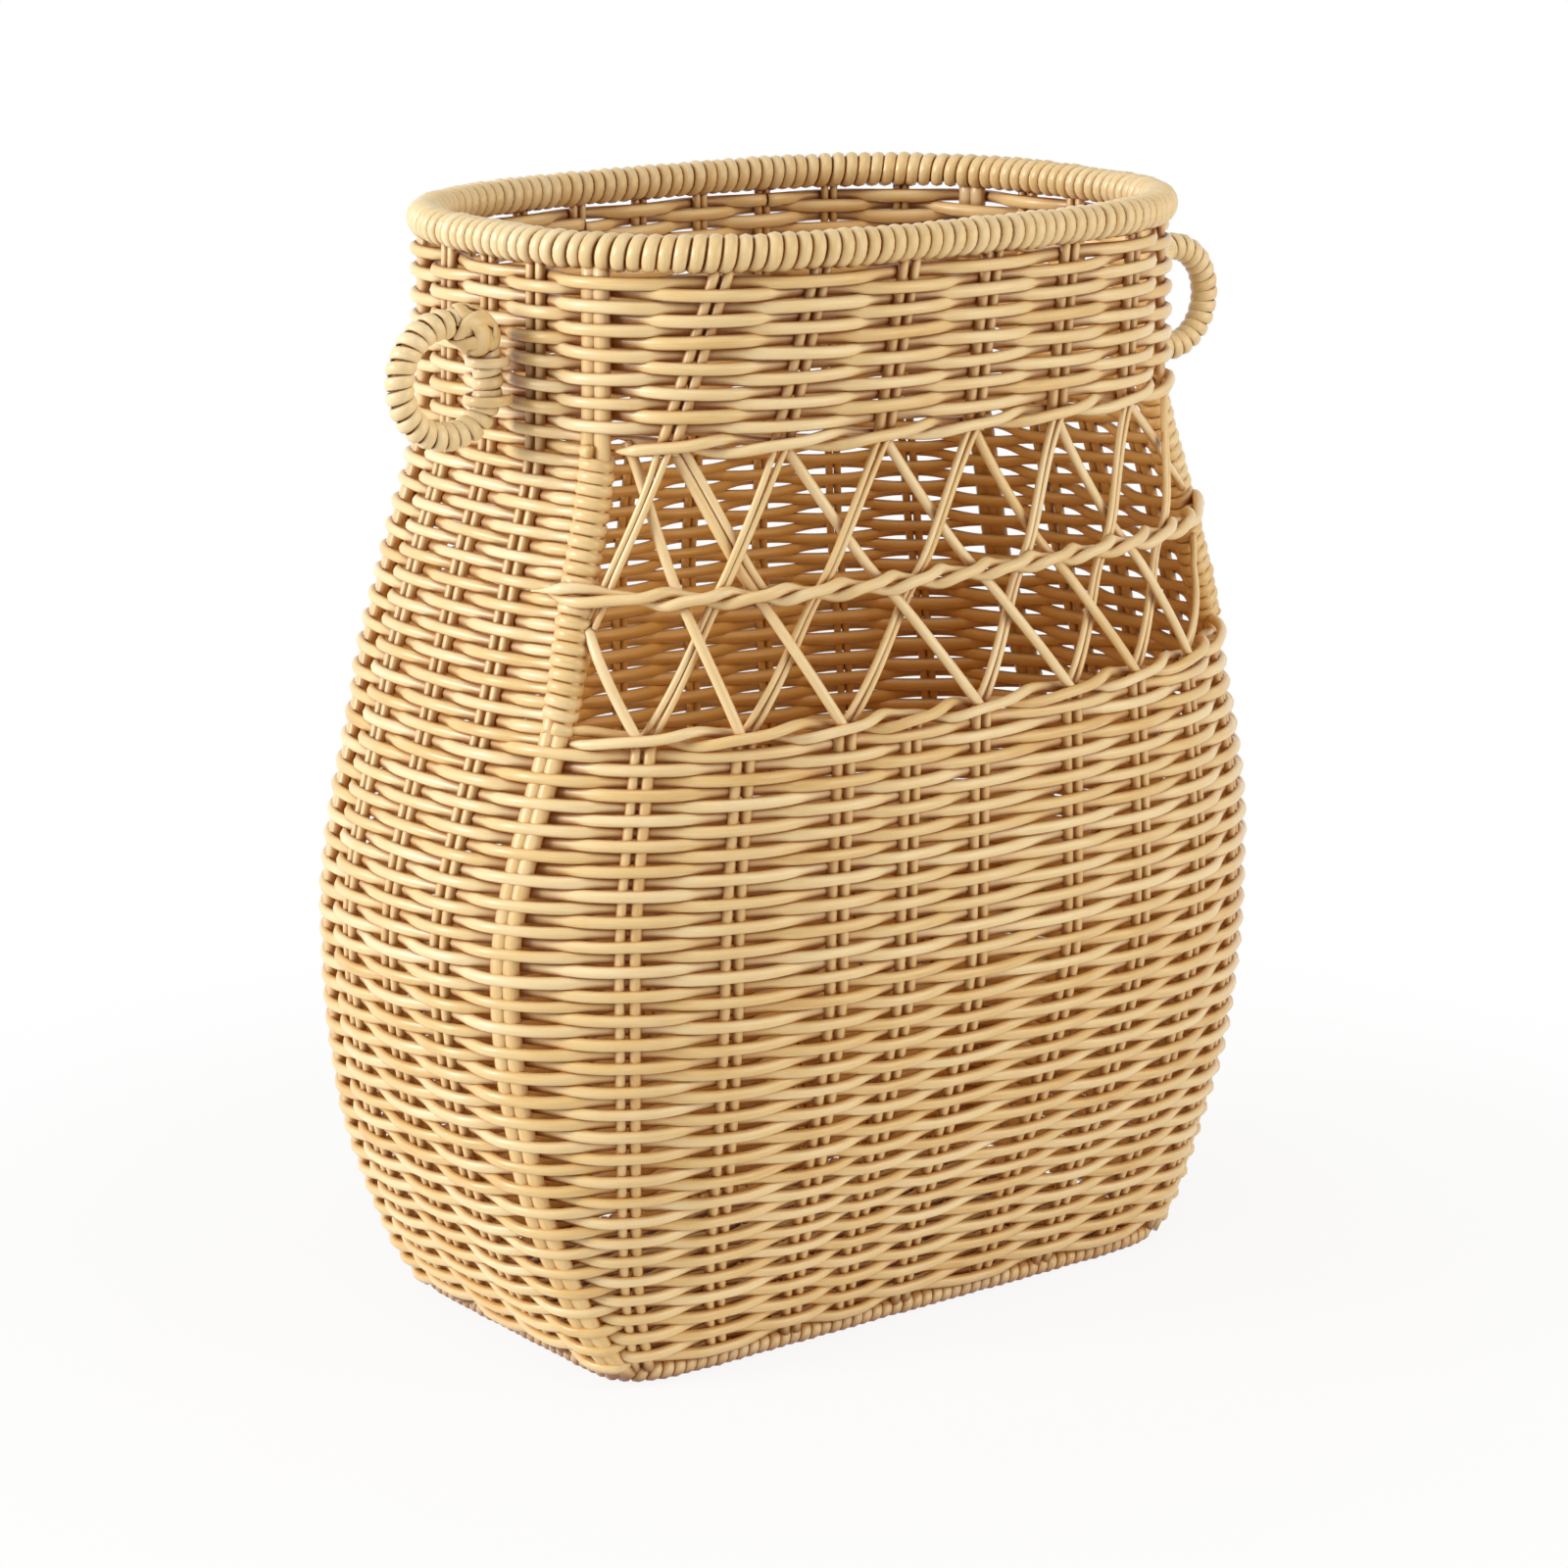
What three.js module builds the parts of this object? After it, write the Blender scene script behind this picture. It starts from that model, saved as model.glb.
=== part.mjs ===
// Woven cane pack basket with a lattice window and two swinging ring handles.
// Millimetres, +Z up, front (the lattice side) towards -Y, standing on z = 0.
import * as THREE from 'three';

// Wall levels from the ground up. Each rise, and how much the plan widens and
// deepens to each side of its middle, is measured from the level below.
// The plan is an oval whose squareness runs from a near rectangle to a soft oval.
// The corner setback is how far the corner posts stand behind the front and back.
const foot = { halfWidth: 143, halfDepth: 76, squareness: 11, cornerSetback: 6.5 };
const hip = { rise: 45, widen: 30, deepen: 13, squareness: 5.2, cornerSetback: 21.7 };
const flank = { rise: 55, widen: 19, deepen: 21, squareness: 3.5, cornerSetback: 44.3 };
const belly = { rise: 75, widen: 10, deepen: 17, squareness: 2.65, cornerSetback: 64.2 };
const sill = { rise: 97, widen: -21.5, deepen: 0, squareness: 2.7, cornerSetback: 59.3 };
const band = { rise: 50.5, widen: -14, deepen: -8.5, squareness: 2.75, cornerSetback: 54.4 };
const head = { rise: 54.5, widen: -15, deepen: -8, squareness: 2.85, cornerSetback: 50.9 };
const brim = { rise: 75, widen: -2, deepen: -0.5, squareness: 2.85, cornerSetback: 51.8 };

// Weave, posts, rim and foot
const wallThickness = 13.6;
const broadStakes = 9;
const endStakes = 3;
const weaveCourses = 52;
const weaveDepth = 4.5;
const postRadius = 4.9;
const postStub = 2;
const rimRadius = 7.5;
const footRadius = 4.5;
const matThickness = 7;
const matLift = 1.5;
const clearance = 0.3;

// Lattice window: single rods cross in front of double rods
const singleRadius = 2.1;
const doubleThickness = 2.8;
const doubleWidth = 5.4;
const crossingGap = 1;
const stakeStart = 0.092;
const stakeStep = 0.1035;
const neckStakeStart = 0.087;
const neckStakeStep = 0.139;
const strayTop = 0.04;
const strandStub = 3;
const twineRadius = 2.2;
const tieDrop = 12;
const tieRise = 8;

// Cane wound round the two front posts beside the window
const postWrapTurns = 24;
const postWrapThickness = 2;
const postWrapInset = 4.5;
const postTurnGap = 1;

// Ring handles, one on each end wall
const ringReach = 40;
const ringHeight = 43;
const ringCentreHeight = 402.5;
const ringForward = 21;
const ringStandOff = 8;
const ringCoreRadius = 3.6;
const ringWrapTurns = 24;
const ringWrapThickness = 1.6;
const ringTurnGap = 0.6;
const ringSquareness = 2.5;
const knotRadius = 8.8;
const knotStart = 105;
const knotEnd = 144;
const lashRadius = 2.1;
const lashRise = 7;
const lashDrop = 9;

const LEVELS = [foot, hip, flank, belly, sill, band, head, brim];
foot.z = 0;
LEVELS.reduce((below, level) => {
  level.z = below.z + level.rise;
  level.halfWidth = below.halfWidth + level.widen;
  level.halfDepth = below.halfDepth + level.deepen;
  return level;
});
const halfWall = wallThickness / 2;
const footTop = 2 * footRadius;
const wallTop = brim.z - rimRadius - clearance;
const radians = THREE.MathUtils.degToRad;

// A level value at height z, by a cubic that never overshoots the levels
function levelValue(key, z) {
  const last = LEVELS.length - 2;
  let i = 0;
  while (i < last && z > LEVELS[i + 1].z) i += 1;
  const rise = (k) => LEVELS[k + 1].z - LEVELS[k].z;
  const grade = (k) => (LEVELS[k + 1][key] - LEVELS[k][key]) / rise(k);
  const slope = (k) => {
    if (k === 0) return grade(0);
    if (k === last + 1) return grade(last);
    const below = grade(k - 1);
    const above = grade(k);
    return below * above <= 0 ? 0 : (2 * below * above) / (below + above);
  };
  const h = rise(i);
  const t = (z - LEVELS[i].z) / h;
  const fall = (1 + 2 * t) * (1 - t) ** 2;
  const climb = t * t * (3 - 2 * t);
  const leave = t * (1 - t) ** 2 * h;
  const arrive = t * t * (t - 1) * h;
  return fall * LEVELS[i][key] + climb * LEVELS[i + 1][key] + leave * slope(i) + arrive * slope(i + 1);
}

// Middle of the wall at a plan angle and height, moved outward by a distance
function planPoint(angle, z) {
  const n = levelValue('squareness', z);
  const along = Math.abs(Math.cos(angle)) / levelValue('halfWidth', z);
  const across = Math.abs(Math.sin(angle)) / levelValue('halfDepth', z);
  const reach = (along ** n + across ** n) ** (-1 / n);
  return new THREE.Vector2(reach * Math.cos(angle), reach * Math.sin(angle));
}

function planNormal(angle, z) {
  const step = 1e-4;
  const along = planPoint(angle + step, z).sub(planPoint(angle - step, z));
  return new THREE.Vector2(along.y, -along.x).normalize();
}

function wallPoint(angle, z, outward = 0) {
  const p = planPoint(angle, z).addScaledVector(planNormal(angle, z), outward);
  return new THREE.Vector3(p.x, p.y, z);
}

function cornerAngle(z) {
  const n = levelValue('squareness', z);
  const depth = levelValue('halfDepth', z);
  const across = depth - levelValue('cornerSetback', z);
  const along = levelValue('halfWidth', z) * (1 - (across / depth) ** n) ** (1 / n);
  return Math.atan2(across, along);
}

// Plan angles all round at height z, closest together on the corners
function outlineAngles(z) {
  const steps = 48;
  const power = 2 / levelValue('squareness', z);
  return Array.from({ length: steps }, (_, k) => {
    const t = (2 * Math.PI * (k + 0.5)) / steps;
    const x = levelValue('halfWidth', z) * Math.sign(Math.cos(t)) * Math.abs(Math.cos(t)) ** power;
    const y = levelValue('halfDepth', z) * Math.sign(Math.sin(t)) * Math.abs(Math.sin(t)) ** power;
    return Math.atan2(y, x);
  });
}

// One wall between its two corner posts at height z, measured along the wall
function wallRun(wall, z) {
  const corner = cornerAngle(z);
  const spans = {
    right: [-corner, corner],
    back: [corner, Math.PI - corner],
    left: [Math.PI - corner, Math.PI + corner],
    front: [Math.PI + corner, 2 * Math.PI - corner],
  };
  const [from, to] = spans[wall];
  const steps = 60;
  const angles = [from];
  const lengths = [0];
  for (let i = 1; i <= steps; i += 1) {
    angles.push(from + ((to - from) * i) / steps);
    const leg = planPoint(angles[i], z).distanceTo(planPoint(angles[i - 1], z));
    lengths.push(lengths[i - 1] + leg);
  }
  const length = lengths[steps];
  const angleAt = (distance) => {
    let i = 1;
    while (i < steps && lengths[i] < distance) i += 1;
    const t = (distance - lengths[i - 1]) / (lengths[i] - lengths[i - 1]);
    return angles[i - 1] + t * (angles[i] - angles[i - 1]);
  };
  return { length, angleAt };
}

function frontPoint(share, z, outward) {
  const run = wallRun('front', z);
  return wallPoint(run.angleAt(share * run.length), z, outward);
}

// Building closed solids
function solid(points, triangles) {
  const geometry = new THREE.BufferGeometry();
  const positions = points.flatMap((p) => [p.x, p.y, p.z]);
  geometry.setAttribute('position', new THREE.Float32BufferAttribute(positions, 3));
  geometry.setIndex(triangles);
  geometry.computeVertexNormals();
  return geometry;
}

// A section carried along a path; sectionAt gives (u, v) pairs, u towards the upright
function sweep(path, sectionAt, uprightAt, closed = false) {
  const count = path.length;
  const sides = sectionAt(0).length;
  const points = [];
  const triangles = [];
  for (let k = 0; k < count; k += 1) {
    const before = path[closed ? (k + count - 1) % count : Math.max(k - 1, 0)];
    const after = path[closed ? (k + 1) % count : Math.min(k + 1, count - 1)];
    const tangent = after.clone().sub(before).normalize();
    const e1 = uprightAt(k).clone();
    e1.addScaledVector(tangent, -e1.dot(tangent)).normalize();
    const e2 = tangent.clone().cross(e1);
    for (const [u, v] of sectionAt(k)) {
      points.push(path[k].clone().addScaledVector(e1, u).addScaledVector(e2, v));
    }
  }
  const stretches = closed ? count : count - 1;
  for (let k = 0; k < stretches; k += 1) {
    const next = (k + 1) % count;
    for (let m = 0; m < sides; m += 1) {
      const turn = (m + 1) % sides;
      const a = k * sides + m;
      const b = k * sides + turn;
      const c = next * sides + turn;
      const d = next * sides + m;
      triangles.push(a, b, c, a, c, d);
    }
  }
  if (!closed) {
    const end = (count - 1) * sides;
    for (let m = 1; m < sides - 1; m += 1) {
      triangles.push(0, m + 1, m, end, end + m, end + m + 1);
    }
  }
  return solid(points, triangles);
}

function round(radius, sides, turned = 0) {
  return Array.from({ length: sides }, (_, m) => {
    const a = (2 * Math.PI * m) / sides + turned;
    return [radius * Math.cos(a), radius * Math.sin(a)];
  });
}

const UP = new THREE.Vector3(0, 0, 1);

// Woven wall between two posts, from one height to another. With a depth, its outer
// face shows the weave: at each stake one row passes outside and the next one behind.
function wovenPanel(wall, bottom, top, columns, rows, startGap, endGap, depth = 0, innerStep = 1) {
  const points = [];
  const addFace = (step, outwardAt) => {
    for (let j = 0; j <= rows; j += step) {
      const z = bottom + ((top - bottom) * j) / rows;
      const run = wallRun(wall, z);
      for (let i = 0; i <= columns; i += 1) {
        const distance = startGap + ((run.length - startGap - endGap) * i) / columns;
        points.push(wallPoint(run.angleAt(distance), z, outwardAt(i, j)));
      }
    }
  };
  const onEdge = (i, j) => i === 0 || j === 0 || i === columns || j === rows;
  const behind = (i, j) => (i + j) % 2 === 1;
  addFace(1, (i, j) => (behind(i, j) && !onEdge(i, j) ? halfWall - depth : halfWall));
  addFace(innerStep, () => -halfWall);
  const outer = (i, j) => j * (columns + 1) + i;
  const inner = (i, j) => (rows + 1 + j / innerStep) * (columns + 1) + i;
  const triangles = [];
  const quad = (a, b, c, d) => triangles.push(a, b, c, a, c, d);
  for (let j = 0; j < rows; j += 1) {
    for (let i = 0; i < columns; i += 1) {
      const cell = [outer(i, j), outer(i + 1, j), outer(i + 1, j + 1), outer(i, j + 1)];
      // The crease joins the two low corners, so that each row's bump stands by itself
      if (depth > 0 && !behind(i, j)) cell.push(cell.shift());
      quad(...cell);
    }
  }
  for (let j = 0; j < rows; j += innerStep) {
    const next = j + innerStep;
    for (let i = 0; i < columns; i += 1) {
      quad(inner(i, j), inner(i, next), inner(i + 1, next), inner(i + 1, j));
    }
    for (let k = j; k < next; k += 1) {
      triangles.push(inner(0, j), outer(0, k), outer(0, k + 1));
      triangles.push(inner(columns, j), outer(columns, k + 1), outer(columns, k));
    }
    triangles.push(inner(0, j), outer(0, next), inner(0, next));
    triangles.push(inner(columns, j), inner(columns, next), outer(columns, next));
  }
  for (let i = 0; i < columns; i += 1) {
    quad(outer(i, 0), inner(i, 0), inner(i + 1, 0), outer(i + 1, 0));
    quad(outer(i, rows), outer(i + 1, rows), inner(i + 1, rows), inner(i, rows));
  }
  return solid(points, triangles);
}

// A flat strip wound along a path, and the least gap between its turns
function winding(pathAt, from, to, turns, radius, thickness, width) {
  const stepsPerTurn = 8;
  const steps = turns * stepsPerTurn;
  const points = [];
  for (let k = 0; k <= steps; k += 1) {
    const { centre, tangent, side } = pathAt(from + ((to - from) * k) / steps);
    const e2 = tangent.clone().cross(side);
    const a = (2 * Math.PI * k) / stepsPerTurn;
    const radial = side.clone().multiplyScalar(Math.cos(a)).addScaledVector(e2, Math.sin(a));
    const section = [[-1, -1], [-1, 1], [1, 1], [1, -1]];
    for (const [out, on] of section) {
      const p = centre.clone().addScaledVector(radial, radius + (out * thickness) / 2);
      points.push(p.addScaledVector(tangent, (on * width) / 2));
    }
  }
  const triangles = [];
  for (let k = 0; k < steps; k += 1) {
    for (let m = 0; m < 4; m += 1) {
      const a = 4 * k + m;
      const b = 4 * k + ((m + 1) % 4);
      triangles.push(a, b, b + 4, a, b + 4, a + 4);
    }
  }
  const end = 4 * steps;
  triangles.push(0, 2, 1, 0, 3, 2, end, end + 1, end + 2, end, end + 2, end + 3);
  let leastGap = Infinity;
  for (let k = 0; k + stepsPerTurn <= steps; k += 1) {
    for (const [near, far] of [[1, 0], [2, 3]]) {
      const gap = points[4 * k + near].distanceTo(points[4 * (k + stepsPerTurn) + far]);
      leastGap = Math.min(leastGap, gap);
    }
  }
  return { geometry: solid(points, triangles), leastGap };
}

// Named pieces with their own finish
const basket = new THREE.Group();
basket.name = 'pack_basket';

function add(name, geometry, color, roughness = 0.5) {
  const material = new THREE.MeshStandardMaterial({ color, roughness, metalness: 0 });
  const mesh = new THREE.Mesh(geometry, material);
  mesh.name = name;
  basket.add(mesh);
}

const caneTan = 0xe2c48c;
const caneLight = 0xeed6a6;
const caneShade = 0xcfa868;

// Woven floor inside the wrapped foot border that the basket stands on
const footAngles = outlineAngles(foot.z);
const footPath = footAngles.map((angle) => wallPoint(angle, foot.z).setZ(footRadius));
const footSection = round(footRadius / Math.cos(Math.PI / 8), 8, Math.PI / 8);
add('foot_border', sweep(footPath, () => footSection, () => UP, true), caneTan);

const matEdge = -(footRadius + 2 * clearance);
const matOutline = footAngles.map((angle) => wallPoint(angle, foot.z, matEdge));
const matShape = new THREE.Shape(matOutline.map((p) => new THREE.Vector2(p.x, p.y)));
const mat = new THREE.ExtrudeGeometry(matShape, { depth: matThickness, bevelEnabled: false });
add('base_mat', mat.translate(0, 0, matLift), caneShade, 0.6);

// Corner posts from the foot border to the rim
const wallBottom = footTop + clearance;
const corners = {
  front_left: (c) => Math.PI + c,
  front_right: (c) => 2 * Math.PI - c,
  back_right: (c) => c,
  back_left: (c) => Math.PI - c,
};
const postAxis = (corner, z) => wallPoint(corners[corner](cornerAngle(z)), z);
const postSteps = 22;
for (const corner of Object.keys(corners)) {
  const from = wallBottom + postStub;
  const climb = (wallTop - postStub - from) / postSteps;
  const path = Array.from({ length: postSteps + 1 }, (_, k) => postAxis(corner, from + k * climb));
  path.unshift(path[0].clone().setZ(wallBottom));
  path.push(path[path.length - 1].clone().setZ(wallTop));
  const along = new THREE.Vector3(1, 0, 0);
  add(`post_${corner}`, sweep(path, () => round(postRadius, 8), () => along), caneLight);
}

// Woven walls: the lower body, the shoulder round the window, and the neck
const postWrapRadius = (postRadius + clearance + postWrapThickness / 2) / Math.cos(Math.PI / 8);
const wrappedPost = postWrapRadius + postWrapThickness / 2;
const cornerGap = halfWall + 1.5 * clearance;
const wrapSideGap = wrappedPost + 1.5 * clearance;
const seam = clearance / 2;
const columns = { front: 14, back: 14, left: 6, right: 6 };
const stakes = { front: broadStakes, back: broadStakes, left: endStakes, right: endStakes };
const plainRows = { shoulder: 4, neck: 3 };
const coursesInside = 4;
for (const wall of ['front', 'back', 'left', 'right']) {
  const weave = [stakes[wall] + 1, weaveCourses, cornerGap, cornerGap, weaveDepth, coursesInside];
  add(`lower_weave_${wall}`, wovenPanel(wall, wallBottom, sill.z - seam, ...weave), caneTan, 0.55);
  const neckGrid = [columns[wall], plainRows.neck, cornerGap, cornerGap];
  const neck = wovenPanel(wall, head.z + seam, wallTop, ...neckGrid);
  add(`neck_weave_${wall}`, neck, caneTan, 0.55);
}
const shoulderEnds = { back: [cornerGap, cornerGap], left: [cornerGap, wrapSideGap], right: [wrapSideGap, cornerGap] };
for (const [wall, [startGap, endGap]] of Object.entries(shoulderEnds)) {
  const bottom = sill.z + seam;
  const grid = [columns[wall], plainRows.shoulder, startGap, endGap];
  const shoulder = wovenPanel(wall, bottom, head.z - seam, ...grid);
  add(`shoulder_weave_${wall}`, shoulder, caneTan, 0.55);
}

// Rim hoop on top of the posts and the neck
const rimPath = outlineAngles(brim.z).map((angle) => wallPoint(angle, brim.z));
add('rim_hoop', sweep(rimPath, () => round(rimRadius, 10), () => UP, true), caneLight);

// Lattice strands: from the sill, a post or both, up to the head of the window
const crossing = singleRadius + doubleThickness / 2 + crossingGap;
const singleOut = crossing / 2;
const doubleOut = -crossing / 2;
const sillNode = (pair) => stakeStart + stakeStep * (pair - 1);
const headNode = (pair) => neckStakeStart + neckStakeStep * (pair - 1);
const strandSides = 6;
const postSeat = wrappedPost + doubleWidth / 2 + clearance;
const strandBottom = sill.z + seam;
const strandTop = head.z - seam;

function strandPath(start, end, outward) {
  const path = [];
  const steps = 8;
  if (start.onSill) path.push(frontPoint(start.share, sill.z, outward).setZ(strandBottom));
  for (let k = 0; k <= steps; k += 1) {
    const t = k / steps;
    const z = start.z + (end.z - start.z) * t;
    path.push(frontPoint(start.share + (end.share - start.share) * t, z, outward));
  }
  const foundation = path[0];
  if (start.onSill) path[1].set(foundation.x, foundation.y, start.z);
  if (end.onHead) {
    const seat = frontPoint(end.share, head.z, outward);
    path[path.length - 1].set(seat.x, seat.y, end.z);
    path.push(seat.setZ(strandTop));
  }
  return path;
}

const fromSill = (share) => ({ share, z: sill.z + strandStub, onSill: true });
const toHead = (share) => ({ share, z: head.z - strandStub, onHead: true });
const besidePost = (z, atRight) => {
  const share = postSeat / wallRun('front', z).length;
  return { share: atRight ? 1 - share : share, z };
};

const half = doubleWidth / 2;
const rise = doubleThickness / 2;
const doubleSection = [
  [0, half], [-rise, half / 2], [-0.7 * rise, 0], [-rise, -half / 2],
  [0, -half], [rise, -half / 2], [0.7 * rise, 0], [rise, half / 2],
];
const frontOut = new THREE.Vector3(0, -1, 0);

function addStrand(name, start, end, outward, section) {
  const path = strandPath(start, end, outward);
  add(name, sweep(path, () => section, () => frontOut), caneLight, 0.45);
}

const singleSection = round(singleRadius, strandSides);
const tieBelow = band.z - tieDrop;
const sillPairs = [1, 2, 3, 5, 6, 7, 8];
const single = (n, start, end) => addStrand(`lattice_single_${n}`, start, end, singleOut, singleSection);
const double = (n, start, end) => addStrand(`lattice_double_${n}`, start, end, doubleOut, doubleSection);
single(1, fromSill(sillNode(sillPairs[0])), besidePost(tieBelow, false));
single(2, fromSill(sillNode(sillPairs[1])), toHead(strayTop));
for (let n = 3; n <= 7; n += 1) {
  single(n, fromSill(sillNode(sillPairs[n - 1])), toHead(headNode(n - 2)));
}
single(8, besidePost(band.z + tieRise, true), toHead(headNode(6)));
double(1, besidePost(tieBelow, false), toHead(headNode(1)));
for (let n = 2; n <= 7; n += 1) {
  double(n, fromSill(sillNode(sillPairs[n - 2])), toHead(headNode(n)));
}
double(8, fromSill(sillNode(sillPairs[6])), besidePost(tieBelow, true));

// Two strands of the middle band, one in front of the lattice and one behind it
const twineSeat = wrappedPost + twineRadius + clearance;
const twineOut = singleOut + singleRadius + clearance + twineRadius;
const twineIn = doubleOut - doubleThickness / 2 - 1.5 * clearance - twineRadius;
for (const [name, outward] of [['twine_outer', twineOut], ['twine_inner', twineIn]]) {
  const run = wallRun('front', band.z);
  const steps = 20;
  const path = Array.from({ length: steps + 1 }, (_, k) => {
    const distance = twineSeat + ((run.length - 2 * twineSeat) * k) / steps;
    return wallPoint(run.angleAt(distance), band.z, outward);
  });
  add(name, sweep(path, () => round(twineRadius, strandSides), () => UP), caneLight, 0.45);
}

// Cane wound round the front posts beside the window
function postWrap(corner) {
  const wrapFrom = sill.z + postWrapInset;
  const wrapTo = head.z - postWrapInset;
  const pathAt = (z) => {
    const centre = postAxis(corner, z);
    const tangent = postAxis(corner, z + 1).sub(postAxis(corner, z - 1)).normalize();
    const side = new THREE.Vector3(1, 0, 0).addScaledVector(tangent, -tangent.x).normalize();
    return { centre, tangent, side };
  };
  const length = postAxis(corner, wrapFrom).distanceTo(postAxis(corner, wrapTo));
  const width = length / postWrapTurns - postTurnGap;
  return winding(pathAt, wrapFrom, wrapTo, postWrapTurns, postWrapRadius, postWrapThickness, width);
}

const gapReport = {};
for (const corner of ['front_left', 'front_right']) {
  const { geometry, leastGap } = postWrap(corner);
  gapReport[`post_wrap_${corner}`] = leastGap;
  add(`post_wrap_${corner}`, geometry, caneLight);
}

// Ring handles: a bent core, its winding and knot, held to the wall by two lashings
const ringWrapRadius = (ringCoreRadius + clearance + ringWrapThickness / 2) / Math.cos(Math.PI / 8);
const ringTube = ringWrapRadius + ringWrapThickness / 2;
const ringWall = planPoint(0, ringCentreHeight).x + halfWall;
const ringAxis = ringWall + ringStandOff;

// Ring centre-line at an angle from its outermost point: x away from the wall
function ringPoint(angle) {
  const c = Math.cos(angle);
  const s = Math.sin(angle);
  const power = 2 / (c < 0 ? ringSquareness : 2);
  const x = ringReach / 2 + (ringReach / 2) * Math.sign(c) * Math.abs(c) ** power;
  const z = (ringHeight / 2) * Math.sign(s) * Math.abs(s) ** power;
  return new THREE.Vector3(x, 0, z);
}

// The same line by length, from the knot's far end round to the knot's near end
const ringTable = [];
const tableSteps = 720;
for (let k = 0; k <= tableSteps; k += 1) {
  const angle = radians(knotStart) - (2 * Math.PI * k) / tableSteps;
  const point = ringPoint(angle);
  const distance = k ? ringTable[k - 1].distance + point.distanceTo(ringTable[k - 1].point) : 0;
  ringTable.push({ angle, point, distance });
}
const ringLength = ringTable[tableSteps].distance;

function ringAt(distance) {
  let k = 1;
  while (k < tableSteps && ringTable[k].distance < distance) k += 1;
  const { angle, distance: reached } = ringTable[k];
  const t = (reached - distance) / (reached - ringTable[k - 1].distance);
  const a = angle + (t * 2 * Math.PI) / tableSteps;
  const step = 0.01;
  const tangent = ringPoint(a - step).sub(ringPoint(a + step)).normalize();
  return { centre: ringPoint(a), tangent, side: new THREE.Vector3(0, 1, 0) };
}

function ringBend() {
  let least = Infinity;
  for (let d = 1; d < ringLength - 1; d += 1) {
    const turn = ringAt(d - 0.5).tangent.angleTo(ringAt(d + 0.5).tangent);
    least = Math.min(least, 1 / turn);
  }
  return least;
}

const knotNear = ringTable.find((row) => row.angle <= radians(knotEnd - 360)).distance;
const wrapLength = knotNear - 2 * ringTurnGap;
const ringPitch = wrapLength / ringWrapTurns;
const ringWrapWidth = ringPitch * (1 - ringTube / ringBend()) - ringTurnGap;
const wrapStart = ringTurnGap + ringWrapWidth;
const wrapEnd = knotNear - ringTurnGap - ringWrapWidth;

const coreSteps = 30;
const corePath = Array.from({ length: coreSteps }, (_, k) => ringAt(0.001 + (ringLength * k) / coreSteps).centre);
const across = new THREE.Vector3(0, 1, 0);
const ringCore = sweep(corePath, () => round(ringCoreRadius, strandSides), () => across, true);
const ringWrap = winding(ringAt, wrapStart, wrapEnd, ringWrapTurns, ringWrapRadius, ringWrapThickness, ringWrapWidth);

// The knot is a thick sleeve of woven cane on the bend above the lashing
function knotSleeve() {
  const sides = 10;
  const stations = 6;
  const bore = (ringCoreRadius + clearance) / Math.cos(Math.PI / sides);
  const points = [];
  for (let k = 0; k <= stations; k += 1) {
    const { centre, tangent, side } = ringAt(knotNear + ((ringLength - knotNear) * k) / stations);
    const e2 = tangent.clone().cross(side);
    const bulge = bore + 1 + (knotRadius - bore - 1) * Math.sin((Math.PI * k) / stations) ** 0.6;
    for (const radius of [bulge, bore]) {
      for (const [u, v] of round(radius, sides)) {
        points.push(centre.clone().addScaledVector(side, u).addScaledVector(e2, v));
      }
    }
  }
  const outer = (k, m) => 2 * sides * k + (m % sides);
  const inner = (k, m) => outer(k, m) + sides;
  const triangles = [];
  const quad = (a, b, c, d) => triangles.push(a, b, c, a, c, d);
  for (let m = 0; m < sides; m += 1) {
    for (let k = 0; k < stations; k += 1) {
      quad(outer(k, m), outer(k, m + 1), outer(k + 1, m + 1), outer(k + 1, m));
      quad(inner(k, m), inner(k + 1, m), inner(k + 1, m + 1), inner(k, m + 1));
    }
    quad(outer(0, m), inner(0, m), inner(0, m + 1), outer(0, m + 1));
    quad(outer(stations, m), outer(stations, m + 1), inner(stations, m + 1), inner(stations, m));
  }
  return solid(points, triangles);
}

// A lashing leaves the wall, passes round the ring's straight side and goes back in
function lashing(offset) {
  const farEdge = Math.abs(offset) + lashRadius;
  const barShift = ringPoint(Math.PI - Math.asin((farEdge / (ringHeight / 2)) ** (ringSquareness / 2))).x;
  const bend = ringTube + barShift + 1.5 * clearance + lashRadius;
  const start = planPoint(0, ringCentreHeight + offset).x + halfWall + clearance - ringAxis;
  const path = [new THREE.Vector3(start, -bend, offset), new THREE.Vector3(start + 2, -bend, offset)];
  const steps = 8;
  for (let k = 0; k <= steps; k += 1) {
    const a = -Math.PI / 2 + (Math.PI * k) / steps;
    path.push(new THREE.Vector3(bend * Math.cos(a), bend * Math.sin(a), offset));
  }
  path.push(new THREE.Vector3(start + 2, bend, offset), new THREE.Vector3(start, bend, offset));
  return sweep(path, () => round(lashRadius, strandSides), () => UP);
}

const ringPieces = {
  ring_core: [ringCore, caneShade],
  ring_wrap: [ringWrap.geometry, caneLight],
  ring_knot: [knotSleeve(), caneLight],
  lashing_upper: [lashing(lashRise), caneTan],
  lashing_lower: [lashing(-lashDrop), caneTan],
};
for (const [piece, [geometry, color]] of Object.entries(ringPieces)) {
  const right = geometry.clone().translate(ringAxis, -ringForward, ringCentreHeight);
  const left = geometry.clone().rotateZ(Math.PI).translate(-ringAxis, -ringForward, ringCentreHeight);
  add(`right_${piece}`, right, color);
  add(`left_${piece}`, left, color);
}
gapReport.ring_wrap = ringWrap.leastGap;

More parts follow.
